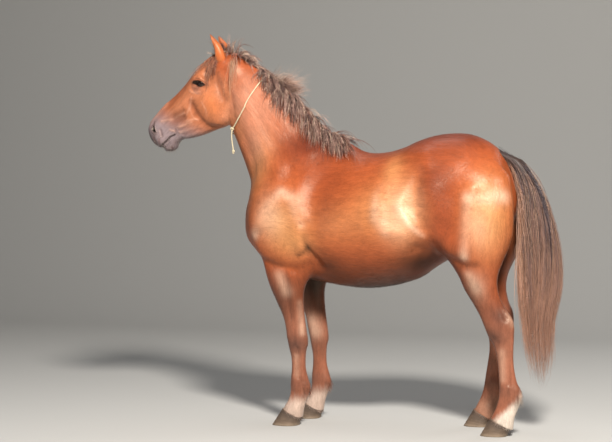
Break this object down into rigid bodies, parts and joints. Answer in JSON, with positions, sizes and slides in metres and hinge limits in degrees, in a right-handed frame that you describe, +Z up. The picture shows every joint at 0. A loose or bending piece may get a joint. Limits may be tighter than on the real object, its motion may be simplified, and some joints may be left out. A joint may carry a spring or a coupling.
{
  "type": "horse",
  "caption": "Life-size standing chestnut horse in profile, head raised, with a combed-over mane, a long loose tail and a thin cord tied round the throat.",
  "frame": {"origin": "centre of the model's box, on the ground under the belly", "axes": "+X towards the tail, +Y towards the horse's right side, +Z up; the horse faces -X"},
  "size_m": [2.274, 0.6062, 2.0644],
  "materials": {
    "coat": "glossy short chestnut coat",
    "ear_coat": "short matt chestnut coat",
    "mane_hair": "long coarse hair, brown with pale strands",
    "tail_hair": "long coarse hair, dark above and rusty below",
    "horn": "grey-brown hoof horn, ringed",
    "eye": "wet, almost black",
    "cord_fibre": "twisted cream twine"
  },
  "bodies": {
    "root": {"head": "coat", "neck": "coat", "trunk": "coat", "foreleg_left": "coat", "foreleg_right": "coat", "hindleg_left": "coat", "hindleg_right": "coat", "ear_left": "ear_coat", "ear_right": "ear_coat", "eye_left": "eye", "eye_right": "eye", "forehoof_left": "horn", "forehoof_right": "horn", "hindhoof_left": "horn", "hindhoof_right": "horn", "mane": "mane_hair", "forelock": "mane_hair", "tail": "tail_hair", "neck_cord": "cord_fibre", "cord_knot": "cord_fibre", "cord_end": "cord_fibre", "cord_end_knot": "cord_fibre"}
  },
  "joints": []
}
